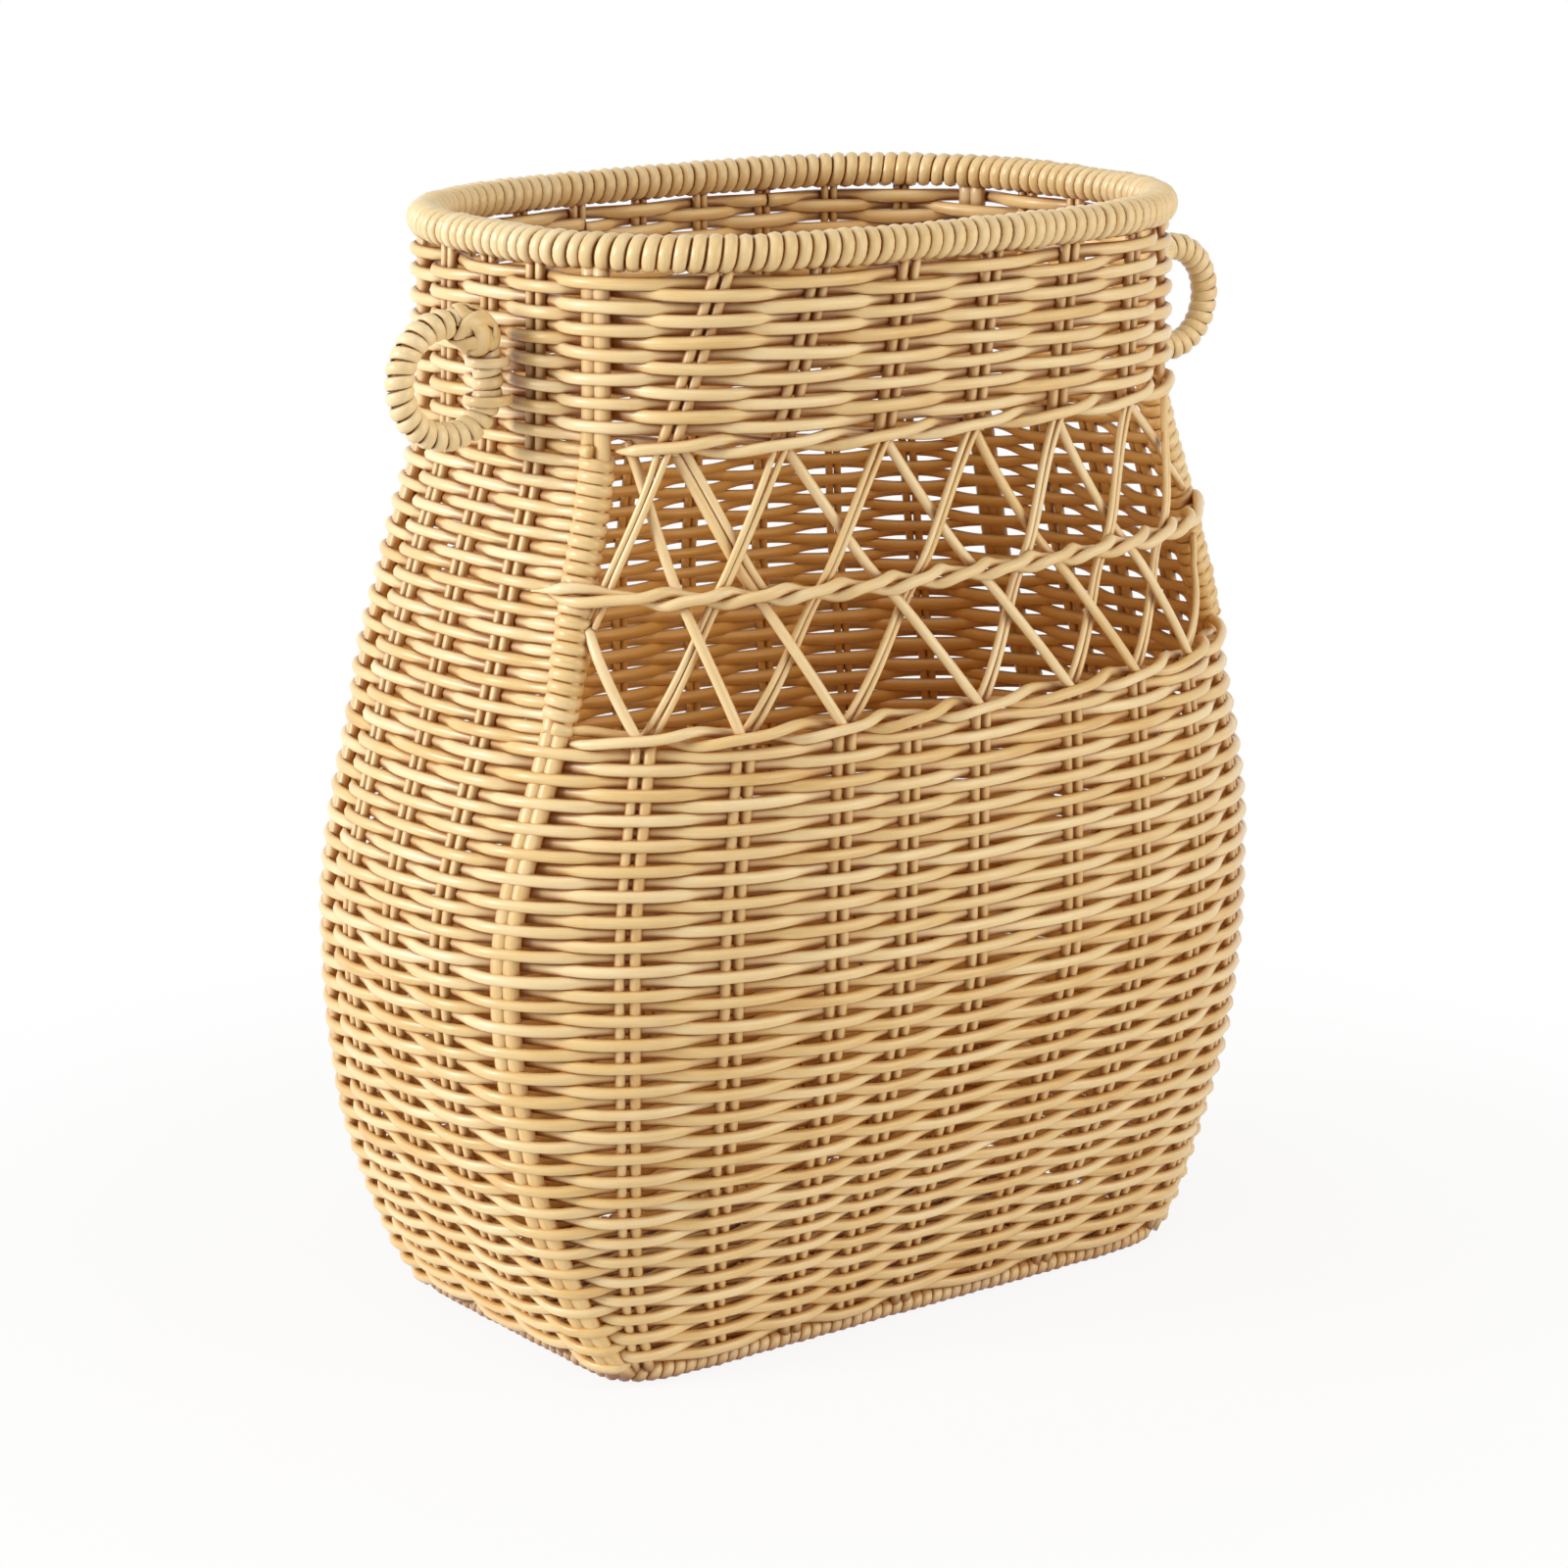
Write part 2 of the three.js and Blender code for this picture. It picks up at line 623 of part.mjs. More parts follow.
for (const [name, gap] of Object.entries(gapReport)) {
  console.log(`${name}: least gap between turns ${gap.toFixed(2)} mm`);
}
console.log(`ring hinge at x ${ringAxis.toFixed(2)}, y ${-ringForward}, z ${ringCentreHeight} mm`);

export default basket;
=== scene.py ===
import math

import bpy
import numpy as np
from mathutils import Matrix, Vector


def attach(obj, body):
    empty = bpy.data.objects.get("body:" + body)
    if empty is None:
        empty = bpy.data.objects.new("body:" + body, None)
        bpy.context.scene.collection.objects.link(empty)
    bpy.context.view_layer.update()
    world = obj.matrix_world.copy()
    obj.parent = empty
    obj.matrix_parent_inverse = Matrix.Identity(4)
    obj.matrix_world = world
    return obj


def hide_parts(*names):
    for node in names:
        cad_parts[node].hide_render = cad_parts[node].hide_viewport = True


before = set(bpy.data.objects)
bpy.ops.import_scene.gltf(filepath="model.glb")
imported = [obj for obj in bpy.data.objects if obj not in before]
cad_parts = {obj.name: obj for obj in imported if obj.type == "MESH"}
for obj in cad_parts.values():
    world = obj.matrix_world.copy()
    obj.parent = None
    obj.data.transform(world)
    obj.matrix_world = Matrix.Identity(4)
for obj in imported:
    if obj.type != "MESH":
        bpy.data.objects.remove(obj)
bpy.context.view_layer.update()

# Foot border
# The bent cane hoop that the basket stands on, wound turn on turn with thin cane.
# The wall stakes are tied down to it.
mm = 0.001
luck = np.random.default_rng(41)
turn = 2 * math.pi
upward = np.array([0, 0, 1.0])
level_height = np.array([0, 45, 100, 175, 272, 322.5, 377, 452.0])
wall_levels = {
    "half_width": np.array([143, 173, 192, 202, 180.5, 166.5, 151.5, 149.5]),
    "half_depth": np.array([76, 89, 110, 127, 127, 118.5, 110.5, 110.0]),
    "squareness": np.array([11, 5.2, 3.5, 2.65, 2.7, 2.75, 2.85, 2.85]),
    "corner_setback": np.array([6.5, 21.7, 44.3, 64.2, 59.3, 54.4, 50.9, 51.8]),
}


def wall_value(key, z):
    """A measure of the wall at height z, eased from level to level."""
    values = wall_levels[key]
    grade = np.diff(values) / np.diff(level_height)
    same = grade[:-1] * grade[1:] > 0
    total = np.where(same, grade[:-1] + grade[1:], 1)
    slope = np.concatenate([grade[:1], np.where(same, 2 * grade[:-1] * grade[1:] / total, 0), grade[-1:]])
    i = np.clip(np.searchsorted(level_height, z) - 1, 0, len(values) - 2)
    h = level_height[i + 1] - level_height[i]
    t = (z - level_height[i]) / h
    eased = (1 + 2 * t) * (1 - t) ** 2 * values[i] + t * t * (3 - 2 * t) * values[i + 1]
    return eased + t * (1 - t) ** 2 * h * slope[i] + t * t * (t - 1) * h * slope[i + 1]


def wall_point(angle, z):
    """Middle of the wall's thickness at a plan angle and height, in mm."""
    angle, z = np.broadcast_arrays(angle, np.asarray(z, float))
    n = wall_value("squareness", z)
    along = np.abs(np.cos(angle)) / wall_value("half_width", z)
    across = np.abs(np.sin(angle)) / wall_value("half_depth", z)
    reach = (along**n + across**n) ** (-1 / n)
    return np.stack([reach * np.cos(angle), reach * np.sin(angle), z], axis=-1)


def unit(v):
    return v / np.linalg.norm(v, axis=-1, keepdims=True)


def wall_outward(angle, z):
    run = wall_point(angle + 1e-3, z) - wall_point(angle - 1e-3, z)
    climb = wall_point(angle, z + 1) - wall_point(angle, z - 1)
    return unit(np.cross(run, climb))


def corner_angle(z):
    """Plan angle of the corner posts from the long axis."""
    n, depth = wall_value("squareness", z), wall_value("half_depth", z)
    across = depth - wall_value("corner_setback", z)
    along = wall_value("half_width", z) * (1 - (across / depth) ** n) ** (1 / n)
    return np.arctan2(across, along)


def wall_run(wall, z):
    """Plan angles along one wall and a little past its posts, their lengths from the first post,
    and the length between the posts."""
    c, past_post = float(corner_angle(z)), 0.15
    spans = {
        "front": (math.pi + c, turn - c),
        "right": (turn - c, turn + c),
        "back": (turn + c, 3 * math.pi - c),
        "left": (3 * math.pi - c, 3 * math.pi + c),
    }
    first, last = spans[wall]
    fine = np.linspace(first - past_post, last + past_post, 181)
    legs = np.linalg.norm(np.diff(wall_point(fine, z), axis=0), axis=1)
    length = np.concatenate([[0], np.cumsum(legs)])
    begin, end = np.interp([first, last], fine, length)
    return fine, length - begin, end - begin


def wall_angle(wall, share, z):
    """Plan angle at a share of one wall's length between its posts, at one height."""
    fine, length, whole = wall_run(wall, z)
    return np.interp(np.asarray(share) * whole, length, fine)


def cane(points, upright, radius, flat=1.0, sides=8, closed=False, tone=None):
    """One cane along points in mm. Its section is radius wide, and flat times that towards upright."""
    points = np.asarray(points, float)
    if closed:
        along = np.roll(points, -1, axis=0) - np.roll(points, 1, axis=0)
    else:
        along = np.gradient(points, axis=0)
    tangent = unit(along)
    lift = np.broadcast_to(upright, points.shape)
    lift = unit(lift - tangent * np.sum(lift * tangent, axis=1, keepdims=True))
    side = np.cross(tangent, lift)
    radius = np.broadcast_to(radius, len(points))[:, None, None]
    around = np.linspace(0, turn, sides, endpoint=False)
    c, s = np.cos(around)[None, :, None], np.sin(around)[None, :, None]
    rings = points[:, None] + radius * (flat * c * lift[:, None] + s * side[:, None])
    legs = np.linalg.norm(np.diff(points, axis=0), axis=1)
    run = np.concatenate([[0], np.cumsum(legs)])[:, None, None]
    grain = np.concatenate([run + 0 * c, radius * c, radius * s], axis=2)
    grain = grain + luck.uniform(0, 4000, (1, 1, 3))
    if tone is None:
        tone = luck.random()
    return rings, grain, np.broadcast_to(tone, len(points)), closed


def inner_painted_shade(rings):
    """Share of painted shade on each point of a wall cane: how far it faces into the basket, less towards
    the rim.
    """
    fade_heights, fade_shares, wall_reach = (330, 425, 442), (1, 0.6, 0), 11
    middle = rings.mean(axis=1)
    angle, z = np.arctan2(middle[:, 1], middle[:, 0]), np.clip(middle[:, 2], 1, level_height[-1])
    wall_radius = np.linalg.norm(wall_point(angle, z)[:, :2], axis=1)
    from_wall = np.linalg.norm(middle[:, :2], axis=1) - wall_radius
    facing = -np.sum(unit(rings - middle[:, None]) * wall_outward(angle, z)[:, None], axis=2)
    depth = np.interp(middle[:, 2], fade_heights, fade_shares) * (np.abs(from_wall) < wall_reach)
    return np.clip(facing * 1.6 + 0.5, 0, 1) * depth[:, None]


def cane_piece(name, canes, finish):
    """All canes of one piece joined in one mesh, with its grain, tones and inner painted shade as
    attributes.
    """
    places, grains, tones, inner, faces, smooth = [], [], [], [], [], []
    start = 0
    for rings, grain, tone, closed in canes:
        count, sides = rings.shape[:2]
        k = np.arange(count if closed else count - 1)[:, None]
        m = np.arange(sides)[None, :]
        ahead, beside = (k + 1) % count, (m + 1) % sides
        corners = k * sides + m, k * sides + beside, ahead * sides + beside, ahead * sides + m
        quads = (np.stack(corners, axis=-1).reshape(-1, 4) + start).tolist()
        faces += quads
        smooth += [True] * len(quads)
        if not closed:
            faces.append(list(range(start + sides - 1, start - 1, -1)))
            faces.append(list(range(start + (count - 1) * sides, start + count * sides)))
            smooth += [False, False]
        places.append(rings.reshape(-1, 3))
        grains.append(grain.reshape(-1, 3))
        tones.append(np.repeat(tone, sides))
        inner.append(inner_painted_shade(rings).ravel())
        start += count * sides
    mesh = bpy.data.meshes.new(name)
    mesh.from_pydata((np.concatenate(places) * mm).tolist(), [], faces)
    mesh.polygons.foreach_set("use_smooth", smooth)
    grain = mesh.attributes.new("cane_grain", "FLOAT_VECTOR", "POINT")
    grain.data.foreach_set("vector", (np.concatenate(grains) * mm).ravel())
    tone = mesh.attributes.new("cane_tone", "FLOAT", "POINT")
    tone.data.foreach_set("value", np.concatenate(tones))
    inside = mesh.attributes.new("cane_inside_painted_shade", "FLOAT", "POINT")
    inside.data.foreach_set("value", np.concatenate(inner))
    mesh.materials.append(finish)
    mesh.update()
    piece = bpy.data.objects.new(name, mesh)
    bpy.context.collection.objects.link(piece)
    return piece


def linear(hexcode):
    """A colour as written on a swatch card, in Blender's linear values."""
    parts = [int(hexcode[i : i + 2], 16) / 255 for i in (0, 2, 4)]
    return [p / 12.92 if p <= 0.04045 else ((p + 0.055) / 1.055) ** 2.4 for p in parts] + [1]


def cane_finish(name, pale, middle, dark, gloss):
    """Varnished cane: tones that differ from cane to cane, fine grain lines, painted shade in dark brown
    where canes meet and in the recesses, and painted shade on the inner side in a deeper orange-brown."""
    finish = bpy.data.materials.new(name)
    finish.use_nodes = True
    nodes, links = finish.node_tree.nodes, finish.node_tree.links
    shader = nodes["Principled BSDF"]
    grain = nodes.new("ShaderNodeAttribute")
    grain.attribute_name = "cane_grain"
    tone = nodes.new("ShaderNodeAttribute")
    tone.attribute_name = "cane_tone"

    def clouds(scale, stretch, detail, roughness=0.5):
        place = nodes.new("ShaderNodeMapping")
        place.inputs["Scale"].default_value = stretch
        links.new(grain.outputs["Vector"], place.inputs["Vector"])
        noise = nodes.new("ShaderNodeTexNoise")
        noise.inputs["Scale"].default_value = scale
        noise.inputs["Detail"].default_value = detail
        noise.inputs["Roughness"].default_value = roughness
        links.new(place.outputs["Vector"], noise.inputs["Vector"])
        return noise.outputs["Fac"]

    def math_node(kind, a, b, c=None):
        node = nodes.new("ShaderNodeMath")
        node.operation = kind
        for socket, value in zip(node.inputs, (a, b, c)):
            if isinstance(value, (int, float)):
                socket.default_value = value
            elif value is not None:
                links.new(value, socket)
        return node.outputs[0]

    fibres = clouds(1500, (0.035, 1, 1), 3, 0.6)
    drift = clouds(26, (1, 6, 6), 2)
    blotch = clouds(240, (0.3, 1, 1), 2)
    lightness = math_node("MULTIPLY_ADD", tone.outputs["Fac"], 0.24, 0.18)
    lightness = math_node("MULTIPLY_ADD", drift, 0.44, lightness)
    lightness = math_node("MULTIPLY_ADD", blotch, 0.2, lightness)
    lightness = math_node("MULTIPLY_ADD", fibres, 0.3, lightness)
    ramp = nodes.new("ShaderNodeValToRGB")
    ramp.color_ramp.elements[0].position = 0.38
    ramp.color_ramp.elements[0].color = linear(dark)
    ramp.color_ramp.elements[1].position = 0.98
    ramp.color_ramp.elements[1].color = linear(pale)
    ramp.color_ramp.elements.new(0.64).color = linear(middle)
    links.new(lightness, ramp.inputs["Fac"])

    # Mixes a painted shade colour into the colour by a share.
    def painted_shade_mix(colour, share, painted_shade):
        mix = nodes.new("ShaderNodeMix")
        mix.data_type = "RGBA"
        mix.inputs["B"].default_value = linear(painted_shade)
        links.new(share, mix.inputs["Factor"])
        links.new(colour, mix.inputs["A"])
        return mix.outputs["Result"]

    inside = nodes.new("ShaderNodeAttribute")
    inside.attribute_name = "cane_inside_painted_shade"
    # Painted shade: ambient occlusion within 13 mm mixes the dark brown 97520F into the colour where canes
    # meet and in the recesses between rows, less on the inner side.
    crevice = nodes.new("ShaderNodeAmbientOcclusion")
    crevice.samples = 6
    crevice.inputs["Distance"].default_value = 13 * mm
    painted_shade = nodes.new("ShaderNodeMapRange")
    painted_shade.interpolation_type = "SMOOTHSTEP"
    painted_shade.inputs["From Min"].default_value = 0.14
    painted_shade.inputs["From Max"].default_value = 0.86
    painted_shade.inputs["To Min"].default_value = 1.0
    painted_shade.inputs["To Max"].default_value = 0.0
    links.new(crevice.outputs["AO"], painted_shade.inputs["Value"])
    # Painted shade: the inner side of the wall canes takes a deeper orange-brown tone F4BC62, fading out
    # towards the rim.
    colour = painted_shade_mix(ramp.outputs["Color"], math_node("MULTIPLY", inside.outputs["Fac"], 0.9), "F4BC62")
    outer = math_node("MULTIPLY_ADD", inside.outputs["Fac"], -0.95, 1.0)
    colour = painted_shade_mix(colour, math_node("MULTIPLY", painted_shade.outputs["Result"], outer), "97520F")
    links.new(colour, shader.inputs["Base Color"])
    links.new(math_node("MULTIPLY_ADD", fibres, 0.2, gloss - 0.1), shader.inputs["Roughness"])
    bump = nodes.new("ShaderNodeBump")
    bump.inputs["Strength"].default_value = 0.25
    bump.inputs["Distance"].default_value = 0.1 * mm
    links.new(fibres, bump.inputs["Height"])
    links.new(bump.outputs["Normal"], shader.inputs["Normal"])
    shader.inputs["Specular IOR Level"].default_value = 0.25
    shader.inputs["Coat Weight"].default_value = 0.6
    shader.inputs["Coat Roughness"].default_value = 0.3
    return finish


def long_tones(count, shortest, longest):
    """Tones along a winding, where one cane follows another."""
    tones = np.empty(count)
    at = 0
    while at < count:
        span = int(luck.integers(shortest, longest))
        tones[at : at + span] = luck.random()
        at += span
    return tones


def closed_line(points, count):
    """Evenly spaced points on a closed line."""
    ring = np.vstack([points, points[:1]])
    length = np.concatenate([[0], np.cumsum(np.linalg.norm(np.diff(ring, axis=0), axis=1))])
    at = np.linspace(0, length[-1], count, endpoint=False)
    return np.stack([np.interp(at, length, ring[:, i]) for i in range(3)], axis=1)


def loop_length(points):
    """Length right round a closed line."""
    return np.linalg.norm(points - np.roll(points, 1, axis=0), axis=1).sum()


def hoop_winding(line, turns, radius, width, thickness, steps, uneven=0.12):
    """A cane wound round a closed level hoop: width along the hoop, thickness out from it."""
    count = turns * steps
    spread = np.cumsum(luck.normal(0, uneven / 4, turns + 1))
    spread -= np.linspace(0, spread[-1], len(spread))
    k = np.arange(count)
    slip = np.interp(k / steps, np.arange(len(spread)), spread)
    parts = 6
    fine = closed_line(line, parts * count)
    place = np.round((k / count + slip / turns) * parts * count).astype(int) % (parts * count)
    tangent = unit(fine[(place + 3) % (parts * count)] - fine[place - 3])
    out = np.cross(tangent, upward)
    angle = turn * k / steps
    radial = np.cos(angle)[:, None] * out + np.sin(angle)[:, None] * upward
    swell = np.interp(k / steps, np.arange(turns + 1), np.append(luck.normal(0, uneven, turns), 0))
    tones = long_tones(count, 10 * steps, 26 * steps)
    path = fine[place] + radial * (radius + swell)[:, None]
    return cane(path, radial, width / 2, thickness / width, 8, True, tones)


foot_radius, foot_wrap_thickness, foot_turns = 4.5, 2.8, 158
foot_clear, foot_core_play = 0.35, 0.5
plan_angles = np.linspace(0, turn, 2000, endpoint=False)
foot_line = wall_point(plan_angles, 0) + foot_radius * upward
foot_strip = loop_length(foot_line) / foot_turns
wrapped = cane_finish("wrapped_cane", "F5E3BA", "E7C88E", "CC9B58", 0.4)
foot_core = closed_line(foot_line, 300)
foot_wrap_middle = foot_radius - foot_wrap_thickness / 2 - foot_clear
foot_canes = [hoop_winding(foot_line, foot_turns, foot_wrap_middle, foot_strip, foot_wrap_thickness, 12)]
foot_canes.append(cane(foot_core, upward, foot_wrap_middle - foot_core_play, closed=True))
foot_border = cane_piece("foot_border_wound", foot_canes, wrapped)
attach(foot_border, "basket")
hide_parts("foot_border")

# Floor
# The woven mat inside the foot border: pairs of floor canes from front to back, and
# single canes woven over and under them along the basket.
floor_middle, floor_stick, floor_weaver = 5.2, 1.7, 1.55
floor_half_width, floor_half_depth, floor_squareness = 139.2, 72.4, 11
floor_pairs = np.linspace(-119, 119, 9)
floor_pair_spread, floor_edge, floor_row_step, floor_wave = 1.9, 1.5, 3.4, 0.62
base_cane = cane_finish("base_cane", "EAD09A", "D8B378", "B98A4E", 0.5)
floor_canes = []
for x in floor_pairs:
    for beside in (-floor_pair_spread, floor_pair_spread):
        y = np.linspace(-floor_half_depth, floor_half_depth, 9)
        line = np.stack([0 * y + x + beside, y, 0 * y + floor_middle], axis=1)
        floor_canes.append(cane(line, upward, floor_stick, sides=7))
floor_last_row = floor_half_depth - floor_edge
for row, y in enumerate(np.arange(-floor_last_row, floor_last_row, floor_row_step)):
    fit = (1 - (abs(y) / floor_half_depth) ** floor_squareness) ** (1 / floor_squareness)
    x = np.linspace(-floor_half_width * fit, floor_half_width * fit, 110)
    wave = np.cos(math.pi * (x - floor_pairs[0]) / (floor_pairs[1] - floor_pairs[0]) + math.pi * row)
    height = floor_middle + (floor_stick + floor_weaver) * floor_wave * wave
    line = np.stack([x, 0 * x + y, height], axis=1)
    floor_canes.append(cane(line, upward, floor_weaver * luck.normal(1, 0.04), sides=6))
floor_mat = cane_piece("floor_mat_woven", floor_canes, base_cane)
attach(floor_mat, "basket")
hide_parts("base_mat")

# Corner posts
# Two stout canes side by side at each corner, from the foot border up into the rim.
# Everything woven passes over or under them.
post_cane_radius, post_cane_flat, post_spread, post_proud = 3.6, 0.75, 2.6, 0.9
sill_height, band_height, head_height, rim_height = level_height[4:]
post_foot, upright_top = 5, rim_height - 3
neck_lean, neck_lean_left = 0.016, 0.07
post_finish = cane_finish("post_cane", "F6E3BA", "E5C48A", "C99A58", 0.42)


def stake_share(wall, share, z):
    """Share of the wall at height z. Below the sill the stakes stand straighter than the wall spreads,
    and over the window they lean to the right, most at the left."""
    share = np.asarray(share)
    if wall == "front" and z > head_height:
        lean = neck_lean + neck_lean_left * (1 - share) ** 2
        return share + lean * (z - head_height) / (rim_height - head_height)
    if wall in ("left", "right") or z >= sill_height:
        return share
    spread = (wall_run(wall, sill_height)[2] / wall_run(wall, z)[2] + 1) / 2
    return 0.5 + (share - 0.5) * spread


def upright_canes(wall, share, low, high, spread, radius, flat=1.0, sides=8, proud=0.0):
    """Canes side by side, climbing the wall: a post at share 0, or a stake pair."""
    z = np.linspace(low, high, max(6, int((high - low) / 7)))
    angle = np.array([wall_angle(wall, stake_share(wall, share, h) if share else 0, h) for h in z])
    normal = wall_outward(angle, z)
    middle = wall_point(angle, z)
    beside = unit(np.cross(upward, normal))
    canes = []
    for where in spread:
        drift = luck.normal(0, 0.22) * np.sin(z / luck.uniform(24, 46) + luck.uniform(0, turn))
        line = middle + beside * (where + drift)[:, None] + normal * luck.normal(proud, 0.12)
        canes.append(cane(line, normal, radius * luck.normal(1, 0.03), flat, sides))
    return canes


wall_from_post = {"front_left": "front", "front_right": "right", "back_right": "back", "back_left": "left"}
post_pair = (-post_spread, post_spread)
post_section = post_cane_radius, post_cane_flat, 10, post_proud
for corner, wall in wall_from_post.items():
    bundle = upright_canes(wall, 0, post_foot, upright_top, post_pair, *post_section)
    post = cane_piece(f"post_{corner}_canes", bundle, post_finish)
    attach(post, "basket")
    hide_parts(f"post_{corner}")

# Stakes
# Thin round canes set in pairs along every wall. They start at the foot border and
# carry the weave; those of the front stop at the window and start again above it.
stake_radius, pair_spread = 2.15, 2.75
back_radius, back_spread = 1.8, 1.95
stake_foot, under_sill = 7, 2
front_stakes = [0.092 + 0.1035 * k for k in range(9)]
front_stakes[2] += 0.01
front_stakes[3] -= 0.012
front_stakes[4] -= 0.024
neck_stakes = [0.087 + 0.139 * k for k in range(7)]
back_stakes = [0.1 * k for k in range(1, 10)]
end_stakes = [0.25, 0.5, 0.75]
stake_finish = cane_finish("stake_cane", "EFD6A2", "DFBC82", "C09050", 0.45)
stake_canes = []
pair, back_pair = (-pair_spread, pair_spread), (-back_spread, back_spread)
for share in front_stakes:
    stake_canes += upright_canes("front", share, stake_foot, sill_height - under_sill, pair, stake_radius)
for share in neck_stakes:
    stake_canes += upright_canes("front", share, head_height - 1, upright_top, pair, stake_radius)
for share in back_stakes:
    stake_canes += upright_canes("back", share, stake_foot, upright_top, back_pair, back_radius)
for wall in ("left", "right"):
    for share in end_stakes:
        stake_canes += upright_canes(wall, share, stake_foot, upright_top, pair, stake_radius)
stakes = cane_piece("wall_stakes", stake_canes, stake_finish)
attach(stakes, "basket")

# Lower weave
# Round canes woven in plain rows, over one stake pair and under the next, right round
# the basket from the foot border to the sill of the window. Ends are tucked inside.
weave_finish = cane_finish("woven_cane", "F6E3B8", "E6C588", "CA9854", 0.42)
weaver_radius, weaver_flat = 2.6, 0.8
lower_count, lower_depth, lower_tight, bottom_count = 55, 0.6, 0.12, 28
lower_first, lower_last = 10.6, sill_height - 8.2
row_gap, crest, tuck_length = 0.02, 0.15, 0.9


def row_stations(z, shares):
    """Plan angles of the posts and pairs at height z, from the front left post round by the front."""
    angles, stands = [], []
    for wall in ("front", "right", "back", "left"):
        angles += list(wall_angle(wall, [0, *stake_share(wall, shares[wall], z)], z))
        stands += [post_proud + post_cane_radius * post_cane_flat] + [stake_radius] * len(shares[wall])
    return np.array(angles), np.array(stands)


def woven_row(z, row, shares, radius, depth, span=None, slack=0.28, tight=0.0, samples=9):
    """One woven row. It runs right round, or over a span of stations, and lies depth times as far
    out over a stake as a cane that only touches it. At the back and the right end it can be stouter."""
    angles, stands = row_stations(z, shares)
    count = len(angles)
    angles = np.concatenate([angles, angles + turn, angles + 2 * turn])
    stands = np.concatenate([stands] * 3)
    if span is None:
        first = int(luck.integers(0, count // 2)) * 2 + (1 - row % 2)
        low, high = first + row_gap, first + count - row_gap
    else:
        low, high = span
    u = np.linspace(low, high, int((high - low) * samples) + 1)
    i = np.floor(u).astype(int)
    t = u - i
    side = np.where((i + row) % 2 == 0, 1, -1)
    ease = (1 + np.cos(math.pi * np.clip((1 + 2 * crest) * t - crest, 0, 1))) / 2
    thin = radius * weaver_flat
    out = depth * side * ((stands[i] + thin) * ease - (stands[i + 1] + thin) * (1 - ease))
    angle = np.interp(u, np.arange(len(angles)), angles)
    height = z + sum(
        luck.normal(0, slack / 3) * np.sin(u * f + luck.uniform(0, turn)) for f in (0.31, 0.83, 1.7, 3.1)
    )
    normal = wall_outward(angle, height)
    line = wall_point(angle, height) + normal * out[:, None]
    thick = radius * luck.normal(1, 0.03) * (1 + 0.03 * np.sin(u * 0.6 + luck.uniform(0, turn)))
    thick = thick * (1 - 0.06 * side * (2 * ease - 1))
    thick = thick * (1 + tight * np.clip(0.5 + np.sin(angle) + 0.6 * np.cos(angle), 0, 1))
    if span is not None:
        tuck = np.clip(np.minimum(u - low, high - u) / tuck_length, 0, 1)
        line = wall_point(angle, height) + normal * (out * tuck * tuck * (3 - 2 * tuck))[:, None]
    return cane(line, normal, thick, weaver_flat)


def row_heights(low, high, rows):
    """Row heights spaced evenly along the slope of the wall."""
    z = np.linspace(low, high, 400)
    lean = np.gradient(wall_value("half_width", z) + wall_value("half_depth", z), z) / 2
    length = np.cumsum(np.sqrt(1 + lean * lean))
    return np.interp(np.linspace(length[0], length[-1], rows), length, z)


lower_shares = {"front": front_stakes, "right": end_stakes, "back": back_stakes, "left": end_stakes}
lower_heights = row_heights(lower_first, lower_last, lower_count)
lower_rows = [
    woven_row(z, row, lower_shares, weaver_radius, lower_depth, tight=lower_tight)
    for row, z in enumerate(lower_heights)
]
for name, rows in (("bottom", lower_rows[:bottom_count]), ("top", lower_rows[bottom_count:])):
    weave = cane_piece(f"lower_weave_{name}_rows", rows, weave_finish)
    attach(weave, "basket")
    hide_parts(*(f"lower_weave_{wall}" for wall in ("front", "back", "left", "right")))

# Sill row
# Two canes twisted round each other and round every stake pair, which close the
# front weave along the bottom of the window.
sill_drop = 1.6


def twined_row(z, shares, reach, lift, radius, low=0.0, high=1.0, middle=0.0, at_post=-2.5):
    """Two canes along the front that swap sides between one upright and the next, in front of the
    middle of the wall by one distance along the row and by another at the posts."""
    near_post, taper_length, thinnest = 0.03, 0.04, 0.2
    share = np.linspace(low, high, 320)
    marks = np.concatenate([[-0.05], np.sort(shares), [1.05]])
    count = np.interp(share, marks, np.arange(len(marks)))
    whole = np.floor(count)
    part = count - whole
    phase = math.pi * (whole + part - 0.1 * np.sin(turn * part))
    angle = wall_angle("front", share, z)
    post_weight = np.exp(-((np.minimum(share, 1 - share) / near_post) ** 2))
    canes = []
    for start in (0, math.pi):
        wave = phase + start
        height = z + lift * np.sin(wave) + 0.25 * np.sin(share * 31 + start)
        normal = wall_outward(angle, height)
        outward = middle + (at_post - middle) * post_weight + reach * np.cos(wave)
        line = wall_point(angle, height) + normal * outward[:, None]
        taper = np.clip(np.minimum(share - low, high - share) / taper_length, thinnest, 1)
        canes.append(cane(line, normal, radius * luck.normal(1, 0.02) * taper))
    return canes


sill_canes = twined_row(
    sill_height - sill_drop, front_stakes, reach=4.1, lift=2.5, radius=2.25,
    low=-0.012, high=1.012, at_post=0.5,
)
sill_row = cane_piece("sill_row_twined", sill_canes, weave_finish)
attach(sill_row, "basket")

